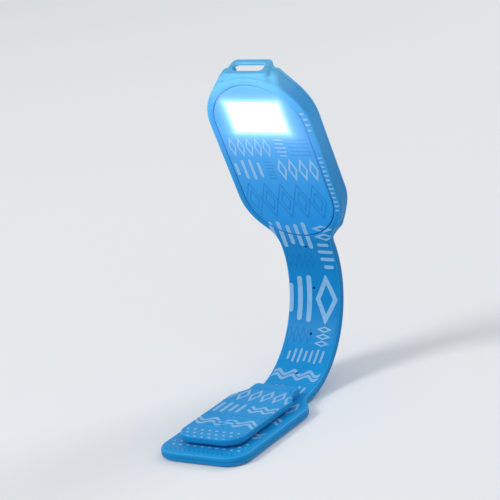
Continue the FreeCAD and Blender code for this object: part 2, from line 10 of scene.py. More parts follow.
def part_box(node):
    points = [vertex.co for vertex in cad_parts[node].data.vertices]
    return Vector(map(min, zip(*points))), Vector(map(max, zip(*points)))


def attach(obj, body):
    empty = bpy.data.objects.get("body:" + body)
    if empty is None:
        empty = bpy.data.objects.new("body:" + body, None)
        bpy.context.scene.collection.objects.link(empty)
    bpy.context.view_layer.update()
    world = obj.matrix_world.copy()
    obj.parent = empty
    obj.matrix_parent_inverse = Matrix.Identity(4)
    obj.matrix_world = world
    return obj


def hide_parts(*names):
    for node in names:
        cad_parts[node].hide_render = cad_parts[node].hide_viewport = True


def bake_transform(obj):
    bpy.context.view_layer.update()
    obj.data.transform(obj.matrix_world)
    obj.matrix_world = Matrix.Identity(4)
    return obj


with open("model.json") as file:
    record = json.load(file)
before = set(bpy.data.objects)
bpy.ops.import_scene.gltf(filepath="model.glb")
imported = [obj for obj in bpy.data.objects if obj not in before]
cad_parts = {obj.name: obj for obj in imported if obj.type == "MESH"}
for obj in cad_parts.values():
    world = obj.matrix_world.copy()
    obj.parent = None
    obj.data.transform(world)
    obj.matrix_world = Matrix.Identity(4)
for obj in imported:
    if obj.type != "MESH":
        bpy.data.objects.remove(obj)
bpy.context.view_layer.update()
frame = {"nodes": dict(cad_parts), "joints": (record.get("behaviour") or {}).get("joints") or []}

# ------------------------------ sizes, in millimetres
# Strip coordinates: x across the strip, s along it from the clip's heel, t out of its front face.
MM = 1000.0
first_bend = Vector(next(j["pos_m"] for j in frame["joints"] if j["name"] == "neck_bend_1")) * MM
link_low, link_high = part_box("neck_link_3")
sleeve_low, sleeve_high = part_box("head_sleeve")
leaf_low, leaf_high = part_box("clip_leaf")

# neck: a strip bent round one arc, with six hinges on it
STRIP_HALF = (link_high.x - link_low.x) * MM / 2
THICK = 3.0
FIRST = 17.0        # degrees along the arc to the first hinge
LINK = 15.0         # degrees from one hinge to the next
SWEEP = 115.0       # degrees of the whole arc
RADIUS = first_bend.y / math.sin(math.radians(FIRST))
CENTRE_Z = THICK / 2 + RADIUS
NECK_LENGTH = RADIUS * math.radians(SWEEP)
LINK_LENGTH = RADIUS * math.radians(LINK)
FIRST_MIDDLE = RADIUS * math.radians(FIRST - LINK / 2)
SEAM = 1.5          # how far past the middle of a link the skin is cut
HOLES = [RADIUS * math.radians(FIRST + LINK / 2 + 2 * LINK * k) for k in range(4)]
HOLE_R, HOLE_FLOOR = 0.45, -1.1

# head: a long round shape that flares into the strip, with a chamber for the works
HEAD_HALF = (sleeve_high.x - sleeve_low.x) * MM / 2
HEAD_END = 32.4
HEAD_STRAIGHT = HEAD_END - HEAD_HALF
DEPTH = 8.0
BACK = -DEPTH
FLARE = 10.0
FLARE_X = STRIP_HALF + FLARE
FLARE_DROP = math.sqrt((HEAD_HALF + FLARE) ** 2 - FLARE_X ** 2)
FLARE_Y = -HEAD_STRAIGHT - FLARE_DROP
HEAD_S = NECK_LENGTH - FLARE_Y
HEAD_ROUND, BACK_ROUND, LOW_END_ROUND = 1.1, 2.4, 1.5
WINDOW = (9.0, 5.5, 17.8)       # half width, half height, and place along the head

# the head's upper end, by place along the head and depth behind the lit face
CROWN_AT, CROWN_LONG, CROWN_CORNER = 26.0, 6.0, 1.5
BEVEL_AT, BEVEL_SLOPE = 27.9, 0.85
LOOP_FROM, LOOP_TO, LOOP_DEPTH, LOOP_DEEP, LOOP_CORNER = 29.5, 33.1, 5.5, 4.05, 1.7
SLOT_FROM, SLOT_HALF, SLOT_DEPTH, SLOT_DEEP, SLOT_CORNER = 31.0, 5.2, 5.4, 1.75, 1.2
NOTCH_AT, NOTCH_LONG, NOTCH_HALF, NOTCH_DEPTH = 30.6, 1.4, 6.7, 3.4

# the chamber in the head: its upper end below the ledge, its two levels, and the holes in front and behind
ROOM_HALF = HEAD_HALF - 2.4
ROOM_TOP, LEDGE_DEPTH = 26.1, 2.6
ROOM_LEVEL, ROOM_DEEP = -3.0, 3.9
FRONT_HOLE, REAR_HOLE, REAR_TOP = -2.5, -5.0, 25.3

# clip
LEAF_HALF = leaf_high.x * MM
LEAF_TIP = leaf_low.y * MM
LEAF_END = -4.0
RIB_FIRST, RIB_STEP, RIB_HALF = -39.4, 3.0, 6.4
BLADE = (-27.0, 11.0, 19.0, 6.0)        # the tongue's parts: middle, half width, half length, corner
STEM = (-8.5, 7.9, 7.9, 1.5)
HEEL = (-3.1, 7.9, 2.5, 1.5)
TONGUE_UNDER, TONGUE_TOP, HEEL_UNDER = 0.8, 3.2, -0.6
GROOVE_FIRST, GROOVE_STEP, GROOVE_HALF, GROOVE_R = -38.5, 1.9, 4.6, 0.42

# places on the rear of the head
BUTTON_L = 18.9
DOOR = (10.1, 10.2, -7.3)       # half width, half of the straight side, middle
COVER_SCREWS = [(sx * 12.6, sy) for sx in (-1, 1) for sy in (10.4, -7.6)]
DOOR_SCREWS = [(-8.2, -7.3), (8.2, -7.3)]


def strip_to_world(x, s, t):
    """Strip coordinates in millimetres to the model's frame in metres."""
    turn = np.clip(s, 0.0, NECK_LENGTH) / RADIUS
    extra = np.where(s > NECK_LENGTH, s - NECK_LENGTH, np.minimum(s, 0.0))
    reach = RADIUS - THICK / 2 - t
    y = reach * np.sin(turn) + extra * np.cos(turn)
    z = CENTRE_Z - reach * np.cos(turn) + extra * np.sin(turn)
    return np.stack([x, y, z], -1) / MM


def turn_normals(normals, s):
    """Directions in strip coordinates to directions in the model's frame."""
    turn = np.clip(s, 0.0, NECK_LENGTH) / RADIUS
    y = normals[:, 1] * np.cos(turn) - normals[:, 2] * np.sin(turn)
    z = normals[:, 1] * np.sin(turn) + normals[:, 2] * np.cos(turn)
    return np.stack([normals[:, 0], y, z], -1)


def point_at(x, s, t):
    """One point in strip coordinates, as a vector in the model's frame."""
    one = [np.array([float(value)]) for value in (x, s, t)]
    return Vector(strip_to_world(*one)[0])


# ------------------------------ distance fields for the moulded soft pieces
def rounded(a, b, r):
    """Two distances to faces, each already moved in by r, joined with a corner of radius r."""
    return np.minimum(np.maximum(a, b), 0) + np.hypot(np.maximum(a, 0), np.maximum(b, 0)) - r


def round_box(x, y, half_x, half_y, r):
    return rounded(np.abs(x) - half_x + r, np.abs(y) - half_y + r, r)


def long_round(x, y, half, straight):
    return np.hypot(x, np.maximum(np.abs(y) - straight, 0)) - half


def thicken(flat, t, low, high, r_high, r_low):
    """A flat shape given thickness from low to high, with its two edges rounded."""
    middle = (low + high) / 2
    r = np.where(t > middle, r_high, r_low)
    return rounded(flat + r, np.abs(t - middle) - (high - low) / 2 + r, r)


def soft_min(a, b, k):
    h = np.maximum(k - np.abs(a - b), 0) / k
    return np.minimum(a, b) - h * h * k / 4


def soft_max(a, b, k):
    return -soft_min(-a, -b, k)


def soft_step(low, high, value):
    u = np.clip((value - low) / (high - low), 0, 1)
    return u * u * (3 - 2 * u)


def capsule(x, y, z, half, r):
    """A round bar that lies across, half its length without its ends."""
    return np.sqrt(np.maximum(np.abs(x) - half, 0) ** 2 + y ** 2 + z ** 2) - r


def head_body(x, along, t):
    """The head with the crown and the loop's plate on its upper end."""
    back_round = BACK_ROUND + LOW_END_ROUND * soft_step(14.0, 27.0, -along)
    body = thicken(long_round(x, along, HEAD_HALF, HEAD_STRAIGHT), t, BACK, 0.0, HEAD_ROUND, back_round)
    # crown: its sides lean in, and its front is bevelled
    lean = (np.abs(x) - (12.1 - (along - 26.5) * 0.42)) * 0.92
    crown = rounded(lean + CROWN_CORNER, np.abs(along - CROWN_AT) - CROWN_LONG + CROWN_CORNER, CROWN_CORNER)
    top = thicken(crown, t, BACK, 0.0, 1.3, BACK_ROUND)
    top = soft_max(top, (t + BEVEL_SLOPE * (along - BEVEL_AT)) * 0.762, 1.2)
    body = soft_min(body, top, 2.0)
    # loop: narrower towards the back
    lean = (np.abs(x) - (7.9 - np.clip(-t, 0, 9.2) * 0.1)) * 0.97
    plate = rounded(lean + LOOP_CORNER, np.abs(-t - LOOP_DEPTH) - LOOP_DEEP + LOOP_CORNER, LOOP_CORNER)
    return soft_min(body, thicken(plate, along, LOOP_FROM, LOOP_TO, 0.8, 0.3), 0.9)


def band_body(x, s, along, t):
    """The strip with its flare into the head, the clip leaf with its ribs, and the pin holes."""
    strip = np.maximum(np.maximum(np.abs(x) - STRIP_HALF, along + 20.0), -(s + 12.0))
    meet_x = HEAD_HALF * FLARE_X / (HEAD_HALF + FLARE)
    meet_y = -HEAD_STRAIGHT - HEAD_HALF * FLARE_DROP / (HEAD_HALF + FLARE)
    fill = np.maximum(np.maximum(np.abs(x) - meet_x, along - meet_y - 1.0), FLARE_Y - along)
    fill = np.maximum(fill, FLARE - np.hypot(np.abs(x) - FLARE_X, along - FLARE_Y))
    leaf = round_box(x, s - (LEAF_TIP + LEAF_END) / 2, LEAF_HALF, (LEAF_END - LEAF_TIP) / 2, 7.0)
    band = thicken(soft_min(np.minimum(strip, fill), leaf, 6.0), t, -THICK, 0.0, 1.0, 1.0)
    for k in range(3):
        band = soft_min(band, capsule(x, s - (RIB_FIRST + RIB_STEP * k), t + 0.15, RIB_HALF, 0.6), 0.5)
    for hole_s in HOLES:
        pin = np.maximum(np.hypot(x, s - hole_s) - HOLE_R, HOLE_FLOOR - t)
        band = soft_max(band, -pin, 0.18)
    return band


def strip_body(x, s, t):
    """The one-piece soft body: clip leaf, neck, flare, head sleeve, crown and loop."""
    along = s - HEAD_S
    depth = -t
    join = 0.02 + 6.0 * soft_step(1.2, 4.2, depth)
    body = soft_min(head_body(x, along, t), band_body(x, s, along, t), join)
    # slot through the loop and the notch behind it
    slot = round_box(x, depth - SLOT_DEPTH, SLOT_HALF, SLOT_DEEP, SLOT_CORNER)
    body = soft_max(body, -np.maximum(slot, SLOT_FROM - along), 0.7)
    notch = np.maximum(np.abs(x) - NOTCH_HALF, np.abs(along - NOTCH_AT) - NOTCH_LONG)
    body = soft_max(body, -np.maximum(notch, NOTCH_DEPTH - depth), 0.5)
    # chamber for the panel and the works, and the opening for the rear cover
    room = long_round(x, along, ROOM_HALF, HEAD_STRAIGHT)
    body = soft_max(body, -np.maximum(room, FRONT_HOLE - t), 0.8)
    chamber = np.maximum(room, np.abs(t - ROOM_LEVEL) - ROOM_DEEP)
    chamber = np.maximum(chamber, np.where(depth > LEDGE_DEPTH, along - ROOM_TOP, -9.0))
    body = np.maximum(body, -chamber)
    rear = np.maximum(long_round(x, along, ROOM_HALF - 0.8, HEAD_STRAIGHT), along - REAR_TOP)
    return soft_max(body, -np.maximum(rear, t - REAR_HOLE), 0.35)


def tongue_body(x, s, t):
    """The clip's tongue with the heel it grows from."""
    blade, stem, heel = (round_box(x, s - middle, half, long, corner)
                         for middle, half, long, corner in (BLADE, STEM, HEEL))
    top = thicken(soft_min(blade, stem, 5.0), t, TONGUE_UNDER, TONGUE_TOP, 0.9, 0.7)
    body = soft_min(top, thicken(heel, t, HEEL_UNDER, TONGUE_TOP, 0.9, 0.2), 0.6)
    for k in range(5):
        place = GROOVE_FIRST + GROOVE_STEP * k
        groove = capsule(x, s - place, t - TONGUE_TOP, GROOVE_HALF - 0.4 * k, GROOVE_R)
        body = soft_max(body, -groove, 0.3)
    return body


SLAB = 64               # how many places along are worked out at once
SLOPE_STEP = 0.03       # half the distance over which a field's slope is measured
SLOPE_LEAST = 0.2       # the least squared slope that a step is divided by
MOVE_MOST, OFF_MOST = 0.12, 0.2     # how far a point moves onto the surface in one pass, and in all


def skin(field, xs, ss, ts):
    """The zero surface of a field on an uneven grid: points, quads and outward directions."""
    grid = np.empty((len(xs), len(ss), len(ts)), np.float32)
    for i in range(0, len(ss), SLAB):
        gx, gs, gt = np.meshgrid(xs, ss[i:i + SLAB], ts, indexing="ij")
        grid[:, i:i + SLAB, :] = field(gx, gs, gt)
    # one point in each cell that the surface crosses, at the mean of its crossings
    inside = grid < 0
    cells = tuple(n - 1 for n in grid.shape)
    total = np.zeros(cells + (3,), np.float32)
    count = np.zeros(cells, np.float32)
    axes = [xs, ss, ts]
    crossings = []
    for axis in range(3):
        low = [slice(None)] * 3
        high = [slice(None)] * 3
        low[axis] = slice(0, -1)
        high[axis] = slice(1, None)
        cross = inside[tuple(low)] != inside[tuple(high)]
        where = np.argwhere(cross)
        f0 = grid[tuple(low)][cross]
        f1 = grid[tuple(high)][cross]
        u = f0 / (f0 - f1)
        places = np.stack([axes[c][where[:, c]] for c in range(3)], -1)
        step = axes[axis][where[:, axis] + 1] - axes[axis][where[:, axis]]
        places[:, axis] += u * step
        others = [c for c in range(3) if c != axis]
        for da in (0, 1):
            for db in (0, 1):
                cell = where.copy()
                cell[:, others[0]] -= da
                cell[:, others[1]] -= db
                good = (cell >= 0).all(1) & (cell < np.array(cells)).all(1)
                c = cell[good]
                np.add.at(total, (c[:, 0], c[:, 1], c[:, 2]), places[good])
                np.add.at(count, (c[:, 0], c[:, 1], c[:, 2]), 1.0)
        crossings.append((axis, others, where, inside[tuple(low)][cross]))
    used = count > 0
    index = np.full(cells, -1, np.int64)
    index[used] = np.arange(used.sum())
    points = (total[used] / count[used][:, None]).astype(float)
    # one quad round each crossed edge of the grid
    quads = []
    for axis, others, where, inner in crossings:
        o1, o2 = others
        good = (where[:, o1] > 0) & (where[:, o2] > 0)
        good &= (where[:, o1] < cells[o1]) & (where[:, o2] < cells[o2])
        w = where[good]
        flip = inner[good]
        ring = []
        for da, db in ((1, 1), (0, 1), (0, 0), (1, 0)):
            cell = w.copy()
            cell[:, o1] -= da
            cell[:, o2] -= db
            ring.append(index[cell[:, 0], cell[:, 1], cell[:, 2]])
        ring = np.stack(ring, -1)
        if axis == 1:
            flip = ~flip
        ring[~flip] = ring[~flip][:, ::-1]
        quads.append(ring)
    quads = np.concatenate(quads)
    quads = quads[(quads >= 0).all(1)]

    def slope(p):
        parts = []
        for c in range(3):
            hi, lo = p.copy(), p.copy()
            hi[:, c] += SLOPE_STEP
            lo[:, c] -= SLOPE_STEP
            parts.append((field(*hi.T) - field(*lo.T)) / (2 * SLOPE_STEP))
        return np.stack(parts, -1)

    # move the points onto the surface, but not far
    start = points.copy()
    for _ in range(3):
        g = slope(points)
        n2 = np.maximum((g * g).sum(1), SLOPE_LEAST)
        move = -(field(*points.T) / n2)[:, None] * g
        length = np.linalg.norm(move, axis=1)
        move *= np.minimum(1.0, MOVE_MOST / np.maximum(length, 1e-9))[:, None]
        points = points + move
        off = points - start
        size = np.linalg.norm(off, axis=1)
        points = start + off * np.minimum(1.0, OFF_MOST / np.maximum(size, 1e-9))[:, None]
    g = slope(points)
    normals = g / np.maximum(np.linalg.norm(g, axis=1), 1e-6)[:, None]
    return points, quads, normals


# ------------------------------ meshes
UV_SPAN, UV_X, UV_S = 200.0, 0.5, 0.3       # millimetres across the UV map, and where x and s are 0


def flat_mesh(name, points, faces, normals=None):
    """A mesh from points in strip coordinates.

    Its UV map holds x and s, "level" holds t, and "front" how far each point faces out of the front.
    """
    mesh = bpy.data.meshes.new(name)
    world = strip_to_world(points[:, 0], points[:, 1], points[:, 2])
    if isinstance(faces, np.ndarray):
        counts = np.full(len(faces), faces.shape[1], np.int32)
        loops = faces.reshape(-1)
    else:
        counts = np.array([len(f) for f in faces], np.int32)
        loops = np.concatenate([np.asarray(f) for f in faces])
    mesh.vertices.add(len(world))
    mesh.vertices.foreach_set("co", world.astype(np.float32).reshape(-1))
    mesh.loops.add(len(loops))
    mesh.loops.foreach_set("vertex_index", loops.astype(np.int32))
    mesh.polygons.add(len(counts))
    starts = np.concatenate([[0], np.cumsum(counts)[:-1]]).astype(np.int32)
    mesh.polygons.foreach_set("loop_start", starts)
    mesh.polygons.foreach_set("loop_total", counts)
    mesh.update(calc_edges=True)
    mesh.validate()
    mesh.polygons.foreach_set("use_smooth", np.ones(len(mesh.polygons), bool))
    uv = mesh.uv_layers.new(name="UVMap")
    index = np.empty(len(mesh.loops), np.int32)
    mesh.loops.foreach_get("vertex_index", index)
    u = points[index, 0] / UV_SPAN + UV_X
    v = points[index, 1] / UV_SPAN + UV_S
    uv.data.foreach_set("uv", np.stack([u, v], -1).astype(np.float32).reshape(-1))
    mesh.attributes.new("front", "FLOAT", "POINT")
    level = mesh.attributes.new("level", "FLOAT", "POINT")
    level.data.foreach_set("value", points[:, 2].astype(np.float32))
    facing = mesh.attributes["front"]
    if normals is not None:
        facing.data.foreach_set("value", normals[:, 2].astype(np.float32))
        turned = turn_normals(normals, points[:, 1])
        mesh.normals_split_custom_set_from_vertices(turned.astype(float).tolist())
    else:
        facing.data.foreach_set("value", np.ones(len(points), np.float32))
    made = bpy.data.objects.new(name, mesh)
    bpy.context.scene.collection.objects.link(made)
    return made


CUT_NEAR = 1.5      # an open edge this close to a cut belongs to it


def pick(points, quads, normals, low, high):
    """The part of a skin between two places along the strip, closed at each end that was cut."""
    middle = points[quads, 1].mean(1)
    mine = quads[(middle >= low) & (middle < high)]
    used = np.unique(mine)
    index = np.full(len(points), -1, np.int64)
    index[used] = np.arange(len(used))
    part, faces, facing = points[used], index[mine], normals[used]
    one = faces.reshape(-1)
    two = np.roll(faces, -1, axis=1).reshape(-1)
    forward = one * len(part) + two
    edge = ~np.isin(forward, two * len(part) + one)
    one, two = one[edge], two[edge]
    faces = faces.tolist()
    for end in (low, high):
        here = np.abs(part[one, 1] - end) < CUT_NEAR
        if not here.any():
            continue
        centre = part[one[here]].mean(0)
        way = np.array([[0.0, 1.0 if end == high else -1.0, 0.0]])
        faces += [[b, a, len(part)] for a, b in zip(one[here].tolist(), two[here].tolist())]
        part = np.concatenate([part, centre[None]])
        facing = np.concatenate([facing, way])
    return part, faces, facing


def stadium_ring(half, straight, middle=0.0, n=48):
    """A long round outline."""
    a = np.linspace(0, math.pi, n)
    top = np.stack([half * np.cos(a), middle + straight + half * np.sin(a)], -1)
    low = np.stack([-half * np.cos(a), middle - straight - half * np.sin(a)], -1)
    return np.concatenate([top, low])


def circle_ring(x, y, r, n=40):
    a = np.linspace(0, 2 * math.pi, n, endpoint=False)
    return np.stack([x + r * np.cos(a), y + r * np.sin(a)], -1)


def box_ring(x, y, half_x, half_y, r, n=10):
    corners = []
    for k, (sx, sy) in enumerate(((1, 1), (-1, 1), (-1, -1), (1, -1))):
        a = np.linspace(k * math.pi / 2, (k + 1) * math.pi / 2, n)
        px = x + sx * (half_x - r) + r * np.cos(a)
        py = y + sy * (half_y - r) + r * np.sin(a)
        corners.append(np.stack([px, py], -1))
    return np.concatenate(corners)


def cover_ring(half, straight, cut, n=60):
    """A stadium whose upper end is cut off square."""
    start = math.asin(min(1.0, (cut - straight) / half))
    a = np.linspace(0, start, n // 3)
    right = np.stack([half * np.cos(a), straight + half * np.sin(a)], -1)
    left = right[::-1] * np.array([-1, 1])
    b = np.linspace(0, math.pi, n)
    low = np.stack([-half * np.cos(b), -straight - half * np.sin(b)], -1)
    return np.concatenate([right, left, low])


def plus_ring(x, y, long, wide, turn):
    """A plus sign, turned by that many radians."""
    shape = [(wide, wide), (wide, long), (-wide, long), (-wide, wide), (-long, wide), (-long, -wide),
             (-wide, -wide), (-wide, -long), (wide, -long), (wide, -wide), (long, -wide), (long, wide)]
    c, d = math.cos(turn), math.sin(turn)
    return np.array([(x + c * px - d * py, y + d * px + c * py) for px, py in shape])


class Build:
    """Collects rings and fills in head coordinates: across, along the head, out of the lit face."""

    def __init__(self):
        self.bm = bmesh.new()

    def ring(self, flat, t):
        return [self.bm.verts.new((p[0], p[1] + HEAD_S, t)) for p in flat]

    def wall(self, rings):
        for low, high in zip(rings[:-1], rings[1:]):
            n = len(low)
            for i in range(n):
                self.bm.faces.new((low[i], low[(i + 1) % n], high[(i + 1) % n], high[i]))

    def fill(self, *rings):
        edges = []
        for ring in rings:
            n = len(ring)
            for i in range(n):
                pair = (ring[i], ring[(i + 1) % n])
                edges.append(self.bm.edges.get(pair) or self.bm.edges.new(pair))
        bmesh.ops.triangle_fill(self.bm, use_beauty=True, use_dissolve=False, edges=edges)

    def made(self, name, sharp):
        bmesh.ops.remove_doubles(self.bm, verts=self.bm.verts, dist=1e-5)
        bmesh.ops.recalc_face_normals(self.bm, faces=self.bm.faces)
        self.bm.verts.ensure_lookup_table()
        self.bm.verts.index_update()
        points = np.array([v.co[:] for v in self.bm.verts], float)
        faces = [[v.index for v in f.verts] for f in self.bm.faces]
        self.bm.free()
        thing = flat_mesh(name, points, faces)
        thing.data.set_sharp_from_angle(angle=math.radians(sharp))
        return thing


# ------------------------------ material helpers
class Wire:
    """Arithmetic on shader sockets."""

    def __init__(self, tree, socket):
        self.tree = tree
        self.socket = socket

    def math(self, kind, other=None, clamp=False):
        node = self.tree.nodes.new("ShaderNodeMath")
        node.operation = kind
        node.use_clamp = clamp
        self.tree.links.new(self.socket, node.inputs[0])
        if isinstance(other, Wire):
            self.tree.links.new(other.socket, node.inputs[1])
        elif other is not None:
            node.inputs[1].default_value = other
        return Wire(self.tree, node.outputs[0])

    def __add__(self, other):
        return self.math("ADD", other)

    def __sub__(self, other):
        return self.math("SUBTRACT", other)

    def __mul__(self, other):
        return self.math("MULTIPLY", other)

    def __truediv__(self, other):
        return self.math("DIVIDE", other)

    def abs(self):
        return self.math("ABSOLUTE")

    def above(self, value, edge):
        """0 below value, 1 above it, with an edge that wide."""
        return (self - (value - edge / 2)).math("DIVIDE", edge, clamp=True)

    def below(self, value, edge):
        """1 below value, 0 above it."""
        return ((self * -1.0) + (value + edge / 2)).math("DIVIDE", edge, clamp=True)


def fraction(wire):
    return wire - wire.math("FLOOR")


def wire_length(dx, dy):
    return ((dx * dx) + (dy * dy)).math("POWER", 0.5)


def new_material(name):
    mat = bpy.data.materials.new(name)
    mat.use_nodes = True
    return mat, mat.node_tree, mat.node_tree.nodes["Principled BSDF"]


def noise(tree, scale, detail, rough, vector=None):
    node = tree.nodes.new("ShaderNodeTexNoise")
    node.inputs["Scale"].default_value = scale
    node.inputs["Detail"].default_value = detail
    node.inputs["Roughness"].default_value = rough
    if vector is None:
        vector = tree.nodes.new("ShaderNodeTexCoord").outputs["Object"]
    tree.links.new(vector, node.inputs["Vector"])
    return Wire(tree, node.outputs["Fac"])


def blend_colour(tree, factor, one, two):
    node = tree.nodes.new("ShaderNodeMix")
    node.data_type = "RGBA"
    tree.links.new(factor.socket, node.inputs[0])
    for place, value in ((6, one), (7, two)):
        if isinstance(value, (tuple, list)):
            node.inputs[place].default_value = tuple(value) + (1.0,)
        else:
            tree.links.new(value, node.inputs[place])
    return node.outputs[2]


def bump(tree, shader, height, strength, distance):
    node = tree.nodes.new("ShaderNodeBump")
    node.inputs["Strength"].default_value = strength
    node.inputs["Distance"].default_value = distance
    tree.links.new(height.socket, node.inputs["Height"])
    tree.links.new(node.outputs["Normal"], shader.inputs["Normal"])


def linear(*screen):
    """A colour given as screen values from 0 to 255, as light."""
    parts = [value / 255.0 for value in screen]
    return tuple(v / 12.92 if v <= 0.04045 else ((v + 0.055) / 1.055) ** 2.4 for v in parts)


# ------------------------------ the print: plain strokes, no letters
BLOCK_EDGE, STROKE_EDGE = 0.1, 0.12     # how soft the edges of a block and of a stroke are
RIM_WIDTH = 0.5                         # how much wider a stroke is with its edge
OUTSIDE = 9.0                           # a distance that no stroke reaches


def block_mask(x, s, x0, x1, s0, s1):
    mask = x.above(x0, BLOCK_EDGE) * x.below(x1, BLOCK_EDGE)
    return mask * s.above(s0, BLOCK_EDGE) * s.below(s1, BLOCK_EDGE)


def stroke(distance, width):
    return distance.below(width / 2, STROKE_EDGE)


def stripes(w, rows, scale):
    """How far w is from the middle of its row, and nothing outside the rows."""
    out = w.below(0.0, 0.02) + w.above(rows, 0.02)
    return (fraction(w) - 0.5).abs() * scale + out * OUTSIDE


def print_block(x, s, spec):
    """One block of the print, filled with a plain geometric pattern, and the edge round its strokes."""
    kind, x0, x1, s0, s1, pitch, width, upright = spec
    if kind == "rim":
        past = ((s - HEAD_S).abs() - HEAD_STRAIGHT).math("MAXIMUM", 0.0)
        x = wire_length(x, past) * x.above(0.0, BLOCK_EDGE)
        kind = "pulse"
    a, a0, a1, b, b0, b1 = (x, x0, x1, s, s0, s1) if upright else (s, s0, s1, x, x0, x1)
    high = b1 - b0 - width
    u = (a - a0) / pitch
    v = (b - (b0 + width / 2)) / high
    cell = fraction(u)
    if kind == "peaks":
        swing = min(0.45 * pitch, 0.4 * high)
        rows = max(1, round((high - swing) / (2.3 * width)))
        step = (high - swing) / rows
        lean = 0.5 * pitch / math.hypot(0.5 * pitch, swing)
        w = ((v * high) - (((cell * 2.0) - 1.0).abs() * swing)) / step
        away = stripes(w, rows, step * lean)
    elif kind == "ripples":
        swing = 0.36 * pitch
        rows = max(1, round((high - swing) / (2.1 * width)))
        step = (high - swing) / rows
        w = ((v * high) - (((u * (2 * math.pi)).math("SINE") + 1.0) * (swing / 2))) / step
        away = stripes(w, rows, step * 0.8)
    elif kind == "slant":
        away = (fraction(u + (v * (0.45 * high / pitch))) - 0.5).abs() * (pitch * 0.912)
    elif kind in ("lattice", "diamonds"):
        lean = (pitch / 2) * (high / 2) / math.hypot(pitch / 2, high / 2)
        dy = (v - 0.5).abs() * 2.0
        if kind == "lattice":
            reach = (cell - 0.5).abs() * 2.0 + dy
            away = (reach - 1.0).abs().math("MINIMUM", (reach - 0.55).abs()) * lean
        else:
            reach = (cell - 0.5).abs() * (2.0 * pitch / (pitch - width)) + dy
            away = (reach - 0.94).abs() * lean
    elif kind == "pulse":
        dx = (cell - 0.5).abs() * pitch
        reach = ((u.math("FLOOR") * 2.2).math("SINE").abs() * (0.22 * high)) + (0.28 * high - 0.1)
        away = wire_length(dx, (((v - 0.5).abs() * high) - reach).math("MAXIMUM", 0.0))
    elif kind == "dots":
        w = (v * high) / pitch
        dx = (fraction(u + (w.math("FLOOR") * 0.5)) - 0.5) * pitch
        away = wire_length(dx, (fraction(w) - 0.5) * pitch)
    else:
        away = (cell - 0.5).abs() * pitch
    mask = block_mask(x, s, x0, x1, s0, s1)
    return stroke(away, width) * mask, stroke(away, width + RIM_WIDTH) * mask


# Each block: kind, x from and to, s from and to, pitch, stroke, and whether it is read across.
H = HEAD_S
PALE = [
    ("diamonds", -14.2, 1.0, H + 2.3, H + 9.8, 3.04, 0.75, True),
    ("pulse", 2.2, 6.6, H + 2.2, H + 10.0, 1.56, 0.65, False),
    ("pulse", -15.4, -4.4, H - 7.2, H + 1.4, 2.75, 1.15, True),
    ("diamonds", 0.3, 15.1, H - 6.9, H + 1.8, 3.7, 0.95, True),
    ("pulse", -14.6, 3.4, H - 35.4, H - 24.0, 3.0, 1.5, True),
    ("diamonds", 4.6, 11.8, H - 31.8, H - 25.0, 3.4, 1.0, False),
    ("pulse", 3.6, 9.2, 50.6, 62.6, 3.0, 1.35, False),
    ("pulse", -10.2, 0.2, 32.2, 49.0, 3.4, 1.8, True),
    ("diamonds", 0.2, 8.8, 32.2, 49.0, 8.6, 1.9, True),
    ("diamonds", 2.0, 7.2, 24.0, 31.5, 2.5, 0.7, False),
    ("pulse", -6.8, 7.2, 17.2, 23.2, 2.0, 0.85, True),
    ("ripples", -8.4, 8.4, 8.2, 15.4, 5.6, 1.2, True),
    ("rim", 15.9, 17.7, H - 19.5, H + 2.6, 1.75, 0.8, False),
    ("rim", 15.8, 17.8, H + 12.0, H + 20.4, 2.1, 0.95, False),
    ("diamonds", -12.6, 12.6, -16.0, -6.6, 4.2, 1.05, True),
    ("pulse", -12.6, 0.2, -26.4, -18.0, 2.56, 1.15, True),
    ("peaks", 1.6, 12.6, -26.4, -18.0, 4.4, 1.1, True),
    ("ripples", -12.4, 12.6, -37.6, -29.4, 6.2, 1.2, True),
    ("dots", -12.4, 12.4, -47.6, -40.2, 2.5, 1.1, True),
    ("pulse", -7.4, 7.4, 0.6, 6.4, 2.1, 0.9, True),
]
DARK = [
    ("lines", -3.6, -0.6, H - 6.9, H + 1.4, 1.3, 0.45, False),
    ("lattice", -15.0, 13.5, H - 22.4, H - 8.4, 5.7, 0.42, True),
    ("diamonds", -8.6, 1.6, 51.0, 57.4, 2.04, 0.42, True),
    ("diamonds", -9.0, 0.8, 24.8, 31.0, 2.45, 0.45, True),
    ("lines", 7.2, 14.6, H + 2.6, H + 9.8, 1.5, 0.45, False),
    ("lines", -12.8, 12.8, -28.6, -27.4, 0.6, 0.25, False),
    ("slant", -12.0, 12.0, -50.2, -48.4, 1.6, 0.5, True),
]


def strip_coordinates(tree):
    coord = tree.nodes.new("ShaderNodeUVMap")
    coord.uv_map = "UVMap"
    split = tree.nodes.new("ShaderNodeSeparateXYZ")
    tree.links.new(coord.outputs["UV"], split.inputs[0])
    x = (Wire(tree, split.outputs["X"]) - UV_X) * UV_SPAN
    s = (Wire(tree, split.outputs["Y"]) - UV_S) * UV_SPAN
    return x, s


def attribute(tree, name):
    node = tree.nodes.new("ShaderNodeAttribute")
    node.attribute_name = name
    return Wire(tree, node.outputs["Fac"])


CROWN_BLUE, CLIP_BLUE, CLOUD_BLUE = linear(116, 206, 244), linear(30, 158, 222), linear(20, 150, 222)
# on the next line: painted shade for the sides, the parting line's colour, and a painted highlight for the
# turning edges
SIDE_SHADE_BLUE, PART_BLUE, EDGE_HIGHLIGHT_BLUE = linear(10, 100, 158), linear(0, 78, 134), linear(96, 190, 236)
PALE_INK, DARK_INK, RIM_INK = linear(160, 208, 240), linear(0, 92, 168), linear(6, 84, 150)
GLOW_FAR, GLOW_NEAR = linear(146, 188, 240), linear(200, 236, 255)
# the blocks of each ink, its colour and strength, and the strength of the dark edge round it
INKS = ((DARK, DARK_INK, 0.42, 0.0), (PALE, PALE_INK, 0.62, 0.3))


